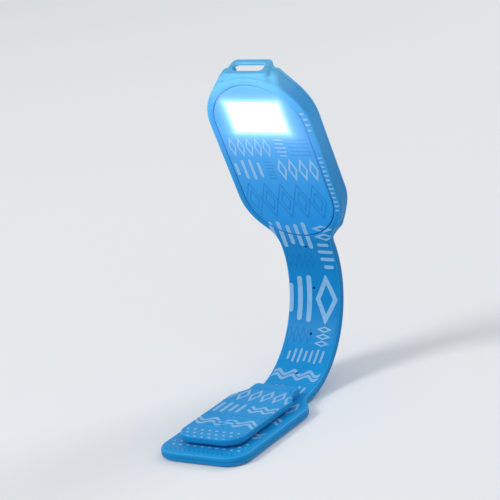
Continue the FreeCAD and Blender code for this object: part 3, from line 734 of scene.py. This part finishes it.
def printed(name, base_top, base_low, highlight_strength, rough, low, high):
    """Translucent soft plastic with the print that lies between low and high along the strip."""
    mat, tree, shader = new_material(name)
    x, s = strip_coordinates(tree)
    facing = attribute(tree, "front")
    flat = facing.above(0.72, 0.2) + (facing.below(-0.72, 0.2) * s.below(58.0, 0.2))
    along = s.above((H + 82.0) / 2, H - 42.0)
    cloud = noise(tree, 70.0, 3.0, 0.55)
    body = blend_colour(tree, along, base_low, base_top)
    body = blend_colour(tree, s.above(H + 28.0, 5.0) * 0.85, body, CROWN_BLUE)
    body = blend_colour(tree, s.below(24.0, 28.0) * 0.6, body, CLIP_BLUE)
    body = blend_colour(tree, cloud.above(0.56, 0.4) * 0.2, body, CLOUD_BLUE)
    grain = noise(tree, 2600.0, 2.0, 0.6)
    for specs, colour, amount, edge in INKS:
        mask, rim = None, None
        for spec in specs:
            if spec[4] < low or spec[3] > high:
                continue
            one, two = print_block(x, s, spec)
            mask = one if mask is None else mask.math("MAXIMUM", one)
            rim = two if rim is None else rim.math("MAXIMUM", two)
        if mask is None:
            continue
        # the ink is a little worn, and only on the front, and on the back of the strip
        worn = (noise(tree, 900.0, 3.0, 0.6).above(0.36, 0.22) * 0.25) + 0.8
        if edge:
            body = blend_colour(tree, rim * flat * edge, body, RIM_INK)
        body = blend_colour(tree, mask * flat * worn * amount, body, colour)
    # painted shade darkening the sides, a parting line along them, and a paler painted highlight where the
    # surface turns
    side = facing.abs().below(0.35, 0.6)
    body = blend_colour(tree, side * 0.4, body, SIDE_SHADE_BLUE)
    seam = (attribute(tree, "level") + (s.above(66.0, 14.0) * 3.9) + 1.5).abs()
    body = blend_colour(tree, stroke(seam, 0.22) * facing.abs().below(0.3, 0.2) * 0.5, body, PART_BLUE)
    # painted highlight: a paler band where the face rounds into the side
    edge_highlight = (((facing.abs() - 0.78).abs()) * -9.0 + 1.0).math("MAXIMUM", 0.0)
    body = blend_colour(tree, edge_highlight * highlight_strength, body, EDGE_HIGHLIGHT_BLUE)
    tree.links.new(body, shader.inputs["Base Color"])
    shader.inputs["Subsurface Weight"].default_value = 0.12
    shader.inputs["Subsurface Radius"].default_value = (0.3, 0.8, 1.0)
    shader.inputs["Subsurface Scale"].default_value = 0.002
    tree.links.new(((grain * 0.12) + (rough - 0.06)).socket, shader.inputs["Roughness"])
    shader.inputs["Specular IOR Level"].default_value = 0.12
    # light from the window spreading through the soft plastic
    wx, wy, wl = WINDOW
    dx = (x.abs() - wx).math("MAXIMUM", 0.0)
    dy = ((s - (H + wl)).abs() - wy).math("MAXIMUM", 0.0)
    away = wire_length(dx, dy)
    near = (away * -0.62).math("EXPONENT")
    wide = (away * -0.12).math("EXPONENT")
    glow = (near + (wide * 0.46)) * ((facing.above(0.2, 1.2) * 0.85) + 0.15)
    tree.links.new(blend_colour(tree, near, GLOW_FAR, GLOW_NEAR), shader.inputs["Emission Color"])
    tree.links.new(glow.socket, shader.inputs["Emission Strength"])
    bump(tree, shader, grain, 0.12, 0.00008)
    return mat


TOP_BLUE = linear(50, 166, 234)
LOW_BLUE = linear(0, 128, 194)
NECK_FROM, HEAD_FROM, NECK_TO = (FIRST_MIDDLE + LINK_LENGTH * k for k in (0.0, 5.5, 6.5))
# the number after the two blues is the strength of the painted edge highlight
head_mat = printed("soft_blue_head", TOP_BLUE, LOW_BLUE, 0.35, 0.44, HEAD_FROM, 200.0)
neck_mat = printed("soft_blue_neck", TOP_BLUE, LOW_BLUE, 0.35, 0.44, NECK_FROM - 2.0, NECK_TO)
clip_mat = printed("soft_blue_clip", TOP_BLUE, LOW_BLUE, 0.35, 0.46, -60.0, NECK_FROM + 2.0)
panel_mat = printed("panel_blue", linear(70, 168, 238), linear(0, 146, 226), 0.0, 0.36, H - 40.0, H + 40.0)


def plastic(name, colour, rough, lift=0.12, scale=1500.0):
    """A plain moulded plastic with fine grain, whose colour lifts slowly in places."""
    mat, tree, shader = new_material(name)
    slow = noise(tree, 120.0, 3.0, 0.5)
    tint = tuple(min(1.0, c * (1.0 + lift) + 0.01) for c in colour)
    tree.links.new(blend_colour(tree, slow.above(0.5, 0.5), colour, tint), shader.inputs["Base Color"])
    fine = noise(tree, scale, 2.0, 0.6)
    tree.links.new(((fine * 0.14) + (rough - 0.07)).socket, shader.inputs["Roughness"])
    bump(tree, shader, fine, 0.15, 0.00005)
    return mat


def metal(name, colour, rough, stretch=(1.0, 1.0, 1.0)):
    """A metal with fine drawn lines."""
    mat, tree, shader = new_material(name)
    coord = tree.nodes.new("ShaderNodeTexCoord")
    mapping = tree.nodes.new("ShaderNodeMapping")
    mapping.inputs["Scale"].default_value = stretch
    tree.links.new(coord.outputs["Object"], mapping.inputs["Vector"])
    lines = noise(tree, 1800.0, 3.0, 0.6, mapping.outputs["Vector"])
    dark = tuple(c * 0.8 for c in colour)
    tree.links.new(blend_colour(tree, lines.above(0.5, 0.6), dark, colour), shader.inputs["Base Color"])
    shader.inputs["Metallic"].default_value = 1.0
    tree.links.new(((lines * 0.2) + (rough - 0.1)).socket, shader.inputs["Roughness"])
    bump(tree, shader, lines, 0.1, 0.00003)
    return mat


def lit_lens(name):
    """The lit window: white in the middle, blue at its rim, a little uneven where the lights are."""
    mat, tree, shader = new_material(name)
    x, s = strip_coordinates(tree)
    wx, wy, wl = WINDOW
    dx = (x.abs() - (wx - 3.4)).math("MAXIMUM", 0.0)
    dy = ((s - (H + wl)).abs() - (wy - 3.2)).math("MAXIMUM", 0.0)
    rim = wire_length(dx, dy).above(3.3, 2.4)
    spots = ((x / 5.2).math("FRACT") - 0.5).abs()
    colour = blend_colour(tree, rim, (1.0, 1.0, 1.0), linear(150, 214, 255))
    tree.links.new(colour, shader.inputs["Emission Color"])
    tree.links.new(((spots * 0.6) + 3.6 - (rim * 3.1)).socket, shader.inputs["Emission Strength"])
    shader.inputs["Base Color"].default_value = (0.55, 0.75, 0.9, 1.0)
    shader.inputs["Roughness"].default_value = 0.3
    return mat


MATERIALS = {
    "lens": lit_lens("lens_lit"),
    "white": plastic("white_plastic", (0.86, 0.87, 0.88), 0.5, 0.04),
    "rear": plastic("rear_blue", linear(6, 112, 182), 0.42),
    "door": plastic("door_blue", linear(10, 122, 192), 0.42),
    "button": plastic("button_blue", linear(4, 62, 122), 0.5),
    "board": plastic("board_green", (0.02, 0.16, 0.07), 0.4, 0.3, 900.0),
    "chip": plastic("chip_black", (0.02, 0.02, 0.024), 0.5, 0.2),
    "led": plastic("led_yellow", (0.86, 0.72, 0.25), 0.35, 0.1),
    "steel": metal("cell_steel", (0.62, 0.63, 0.65), 0.3, (1.0, 0.1, 0.1)),
    "spring": metal("spring_steel", (0.55, 0.56, 0.58), 0.34, (0.1, 1.0, 1.0)),
    "core": metal("core_metal", (0.66, 0.67, 0.69), 0.38, (1.0, 0.2, 0.2)),
    "screw": metal("screw_steel", (0.44, 0.45, 0.47), 0.3),
}


def dress(thing, mat):
    thing.data.materials.clear()
    thing.data.materials.append(mat)
    return thing


NODE_MATERIALS = {
    "leaf_spring": "spring", "tongue_spring": "spring", "core_root": "core", "core_head": "core",
    "reflector": "white", "circuit_board": "board", "led_chips": "led", "tact_switch": "chip",
    "driver_chip": "chip", "resistors": "chip", "switch_plunger": "white", "cell_upper": "steel",
    "cell_lower": "steel", "battery_frame": "white", "contact_minus": "spring", "contact_plus": "spring",
    "contact_bridge": "spring",
}
for k in range(1, 6):
    NODE_MATERIALS["core_plate_%d" % k] = "core"
for node_name, key in NODE_MATERIALS.items():
    dress(frame["nodes"][node_name], MATERIALS[key])

# ------------------------------ soft strip: clip leaf, neck and head in one skin
# the grid is finer round the pin holes, and across the thickness of the strip
near_hole = np.arange(-0.75, 0.76, 0.125)
across = np.concatenate([np.arange(-18.75, -0.9, 0.3), near_hole, np.arange(1.05, 18.9, 0.3)])
places = []
for start, end, step in ((-53.0, 9.0, 0.42), (9.0, 58.0, 0.36), (58.0, H + 35.2, 0.3)):
    places += list(np.arange(start, end, step))
places = [p for p in places if min(abs(p - h) for h in HOLES) > 0.95]
for h in HOLES:
    places += list(np.arange(h - 0.75, h + 0.76, 0.125))
levels = np.concatenate([np.arange(-9.75, -3.2, 0.3), np.arange(-3.15, 0.95, 0.2)])
points, quads, normals = skin(strip_body, across, np.array(sorted(places)), levels)
centres = [FIRST_MIDDLE + LINK_LENGTH * k for k in range(7)]
cuts = [c + SEAM for c in centres]

soft_clip = flat_mesh("soft_clip", *pick(points, quads, normals, -math.inf, cuts[0]))
dress(soft_clip, clip_mat)
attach(soft_clip, "clip_base")
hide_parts("clip_leaf")
for k in range(6):
    piece = flat_mesh("soft_neck_%d" % (k + 1), *pick(points, quads, normals, cuts[k], cuts[k + 1]))
    dress(piece, neck_mat)
    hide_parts("neck_link_%d" % min(k + 1, 5))
    point_at(0, cuts[k], -THICK / 2)
    point_at(0, centres[k + 1], -THICK / 2)
    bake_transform(piece)
soft_head = flat_mesh("soft_head", *pick(points, quads, normals, cuts[6], math.inf))
dress(soft_head, head_mat)
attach(soft_head, "head")
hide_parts("head_sleeve")

soft_tongue = flat_mesh("soft_tongue", *skin(tongue_body, np.arange(-11.5, 11.6, 0.28),
                                             np.arange(-46.6, 0.4, 0.28), np.arange(-1.1, 3.9, 0.22)))
dress(soft_tongue, clip_mat)
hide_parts("clip_tongue")
point_at(0, -3.6, 2.0)
point_at(0, -9.4, 2.0)
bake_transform(soft_tongue)

# ------------------------------ front panel and lens
wx, wy, wl = WINDOW
b = Build()
rings = [b.ring(stadium_ring(ROOM_HALF - 0.14 - inset, HEAD_STRAIGHT, n=72), t) for inset, t in (
    (0.0, -1.3), (0.0, -0.45), (0.06, -0.26), (0.2, -0.11), (0.42, -0.03), (0.8, 0.0))]
hole = [b.ring(box_ring(0, wl, wx + 0.1 + grow, wy + 0.1 + grow, 1.6 + grow), t)
        for grow, t in ((0.25, 0.0), (0.1, -0.04), (0.0, -0.2), (0.0, -1.3))]
b.wall(rings)
b.wall(hole)
b.fill(rings[-1], hole[0])
b.fill(rings[0], hole[-1])
front_panel = dress(b.made("front_panel", 40.0), panel_mat)
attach(front_panel, "head")
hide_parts("front_cover")

b = Build()
rings = [b.ring(box_ring(0, wl, wx + grow, wy + grow, 1.5 + grow), t) for grow, t in (
    (0.0, -1.8), (0.0, -0.16), (-0.08, -0.06), (-0.25, -0.01), (-0.7, 0.03), (-1.3, 0.05))]
b.wall(rings)
b.fill(rings[-1])
b.fill(rings[0])
lens = dress(b.made("window_lens", 60.0), MATERIALS["lens"])
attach(lens, "head")
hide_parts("lens")

# ------------------------------ rear cover, battery door, button and screws
COVER_FLOOR, LID_FLOOR = -6.8, -6.85
SCREW_HOLE = 1.4
SCREW_RIM = ((0.12, BACK), (0.02, BACK + 0.1), (0.0, BACK + 0.3))

b = Build()
outer = [b.ring(cover_ring(ROOM_HALF - 0.9 - inset, HEAD_STRAIGHT, 25.2 - inset), t)
         for inset, t in ((0.0, COVER_FLOOR), (0.0, BACK + 0.25), (0.08, BACK + 0.08), (0.3, BACK))]
b.wall(outer)
# openings for the battery door, the button and the screws
openings = [[(stadium_ring(DOOR[0] + 0.1 + g, DOOR[1], DOOR[2]), t)
             for g, t in ((0.16, BACK), (0.04, BACK + 0.1), (0.0, BACK + 0.3), (0.0, COVER_FLOOR))],
            [(circle_ring(0, BUTTON_L, 4.6 + g), t)
             for g, t in ((0.3, BACK), (0.1, BACK + 0.12), (0.0, BACK + 0.35), (0.0, COVER_FLOOR))]]
for px, py in COVER_SCREWS:
    openings.append([(circle_ring(px, py, SCREW_HOLE + g, 28), t)
                     for g, t in SCREW_RIM + ((0.0, COVER_FLOOR),)])
tops, lows = [], []
for steps in openings:
    rings = [b.ring(flat, t) for flat, t in steps]
    b.wall(rings)
    tops.append(rings[0])
    lows.append(rings[-1])
b.fill(outer[-1], *tops)
b.fill(outer[0], *lows)
rear = dress(b.made("rear_shell", 40.0), MATERIALS["rear"])
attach(rear, "head")
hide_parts("rear_cover")

b = Build()
outer = [b.ring(stadium_ring(DOOR[0] - inset, DOOR[1], DOOR[2]), t)
         for inset, t in ((0.0, LID_FLOOR), (0.0, BACK + 0.25), (0.06, BACK + 0.08), (0.25, BACK))]
b.wall(outer)
tops, lows = [], []
for px, py in DOOR_SCREWS:
    rings = [b.ring(circle_ring(px, py, SCREW_HOLE + g, 28), t)
             for g, t in SCREW_RIM + ((0.0, LID_FLOOR),)]
    b.wall(rings)
    tops.append(rings[0])
    lows.append(rings[-1])
# finger ridges
for k in range(4):
    ridge = [b.ring(box_ring(0, DOOR[2] - 9.0 - 1.7 * k, 4.6 - 0.5 * k + g, 0.42 + g, 0.4 + g, 6), t)
             for g, t in ((0.12, BACK), (0.0, BACK + 0.12), (-0.12, BACK + 0.3))]
    b.wall(ridge)
    b.fill(ridge[-1])
    tops.append(ridge[0])
b.fill(outer[-1], *tops)
b.fill(outer[0], *lows)
door = dress(b.made("battery_lid", 40.0), MATERIALS["door"])
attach(door, "head")
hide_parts("battery_door")

# radius and level: a flange under the cover, the edge, a dished face and a raised dot
BUTTON_STEPS = ((5.1, -6.2), (5.1, -6.7), (4.5, -6.7), (4.5, BACK - 0.12), (4.42, BACK - 0.28),
                (4.2, BACK - 0.38), (3.8, BACK - 0.4), (3.3, BACK - 0.36), (2.4, BACK - 0.2),
                (1.4, BACK - 0.12), (0.9, BACK - 0.1), (0.78, BACK - 0.2), (0.5, BACK - 0.26))
b = Build()
rings = [b.ring(circle_ring(0, BUTTON_L, r, 56), t) for r, t in BUTTON_STEPS]
b.wall(rings)
b.fill(rings[-1])
b.fill(rings[0])
button = dress(b.made("rear_button", 40.0), MATERIALS["button"])
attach(button, "button")
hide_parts("power_button")


# radius and level: the shank, then the head
SCREW_STEPS = ((0.8, -3.0), (0.8, -7.34), (1.3, -7.34), (1.3, BACK + 0.24), (1.22, BACK + 0.14),
               (1.0, BACK + 0.1))


def screw_heads(name, spots, turns, node):
    """Small screws with a cross in each head."""
    b = Build()
    for (px, py), turn in zip(spots, turns):
        rings = [b.ring(circle_ring(px, py, r, 28), t) for r, t in SCREW_STEPS]
        cross = [b.ring(plus_ring(px, py, 0.74 - g, 0.18 - g * 0.4, turn), t)
                 for g, t in ((0.0, BACK + 0.1), (0.12, BACK + 0.42))]
        b.wall(rings)
        b.wall(cross)
        b.fill(rings[-1], cross[0])
        b.fill(cross[-1])
        b.fill(rings[0])
    made = dress(b.made(name, 35.0), MATERIALS["screw"])
    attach(made, "head")
    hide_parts(node)


screw_heads("rear_screws", COVER_SCREWS, (0.3, 1.1, 0.7, 0.1), "cover_screws")
screw_heads("lid_screws", DOOR_SCREWS, (0.5, 0.9), "door_screws")

# ------------------------------ stage, light and camera
FLOOR = (0.86, 0.87, 0.885)
FLOOR_HALF, FLOOR_Z = 4, -0.0002        # metres


def pale_floor():
    mat, tree, shader = new_material("pale_floor")
    patches = noise(tree, 6.0, 3.0, 0.5)
    colour = blend_colour(tree, patches, FLOOR, tuple(c * 0.985 for c in FLOOR))
    tree.links.new(colour, shader.inputs["Base Color"])
    shader.inputs["Roughness"].default_value = 1.0
    shader.inputs["Specular IOR Level"].default_value = 0.0
    return mat


corners = [(x * FLOOR_HALF, y * FLOOR_HALF, FLOOR_Z) for x, y in ((-1, -1), (1, -1), (1, 1), (-1, 1))]
floor_mesh = bpy.data.meshes.new("floor")
floor_mesh.from_pydata(corners, [], [(0, 1, 2, 3)])
floor = bpy.data.objects.new("floor", floor_mesh)
floor.data.materials.append(pale_floor())
bpy.context.scene.collection.objects.link(floor)

# the sky lights the object, and the camera, gloss and glass see a plain pale background
world = bpy.data.worlds.new("world")
bpy.context.scene.world = world
world.use_nodes = True
tree = world.node_tree
sky = tree.nodes["Background"]
sky.inputs["Color"].default_value = (0.95, 0.975, 1.0, 1.0)
sky.inputs["Strength"].default_value = 0.54
seen = tree.nodes.new("ShaderNodeBackground")
seen.inputs["Color"].default_value = (0.74, 0.76, 0.79, 1.0)
seen.inputs["Strength"].default_value = 1.0
path = tree.nodes.new("ShaderNodeLightPath")
which = tree.nodes.new("ShaderNodeMixShader")
shown = Wire(tree, path.outputs["Is Camera Ray"])
for ray in ("Is Glossy Ray", "Is Transmission Ray"):
    shown = shown.math("MAXIMUM", Wire(tree, path.outputs[ray]))
tree.links.new(shown.socket, which.inputs[0])
tree.links.new(sky.outputs[0], which.inputs[1])
tree.links.new(seen.outputs[0], which.inputs[2])
tree.links.new(which.outputs[0], tree.nodes["World Output"].inputs["Surface"])


def area(name, spot, aim, size, power, colour=(1.0, 1.0, 1.0)):
    data = bpy.data.lights.new(name, "AREA")
    data.shape = "SQUARE"
    data.size = size
    data.energy = power
    data.color = colour
    lamp = bpy.data.objects.new(name, data)
    lamp.location = spot
    lamp.rotation_euler = (Vector(aim) - Vector(spot)).to_track_quat("-Z", "Y").to_euler()
    bpy.context.scene.collection.objects.link(lamp)


area("key", (-1.1, -1.5, 1.5), (0, 0, 0.05), 0.7, 24.0, (1.0, 0.99, 0.97))
area("fill", (1.6, -1.0, 0.6), (0, 0, 0.05), 1.2, 4.0, (0.95, 0.98, 1.0))
area("back", (0.6, 1.5, 1.3), (0, 0, 0.06), 0.8, 9.0)

# camera at the photograph's viewing angle: the middle of the head's lit face lies at SPOT, in pixels
TURN, TILT, ROLL = math.radians(30.1), math.radians(18.15), math.radians(3.0)
IMAGE, SENSOR = 500, 36.0
SCALE = 3.235           # pixels to a millimetre
SPOT = (273.8, 163.0)
FAR = 600.0             # millimetres from the camera to the head
to_camera = Vector((math.sin(TURN), -math.cos(TURN) * math.cos(TILT), math.cos(TURN) * math.sin(TILT)))
lift = Vector((0.0, math.sin(TILT), math.cos(TILT)))
right = lift.cross(to_camera).normalized()
up = to_camera.cross(right)
right_r = right * math.cos(ROLL) + up * math.sin(ROLL)
up_r = up * math.cos(ROLL) - right * math.sin(ROLL)
head_middle = point_at(0, H, 0)
target = (head_middle - right_r * ((SPOT[0] - IMAGE / 2) / SCALE / MM)
          - up_r * ((IMAGE / 2 - SPOT[1]) / SCALE / MM))
place = target + to_camera * (FAR / MM)
data = bpy.data.cameras.new("camera")
data.sensor_width = SENSOR
data.lens = SCALE * FAR / IMAGE * SENSOR
data.clip_start = 0.01
camera = bpy.data.objects.new("camera", data)
camera.matrix_world = Matrix.Translation(place) @ Matrix((right_r, up_r, to_camera)).transposed().to_4x4()
bpy.context.scene.collection.objects.link(camera)
bpy.context.scene.camera = camera
bpy.context.scene.view_settings.view_transform = "Standard"
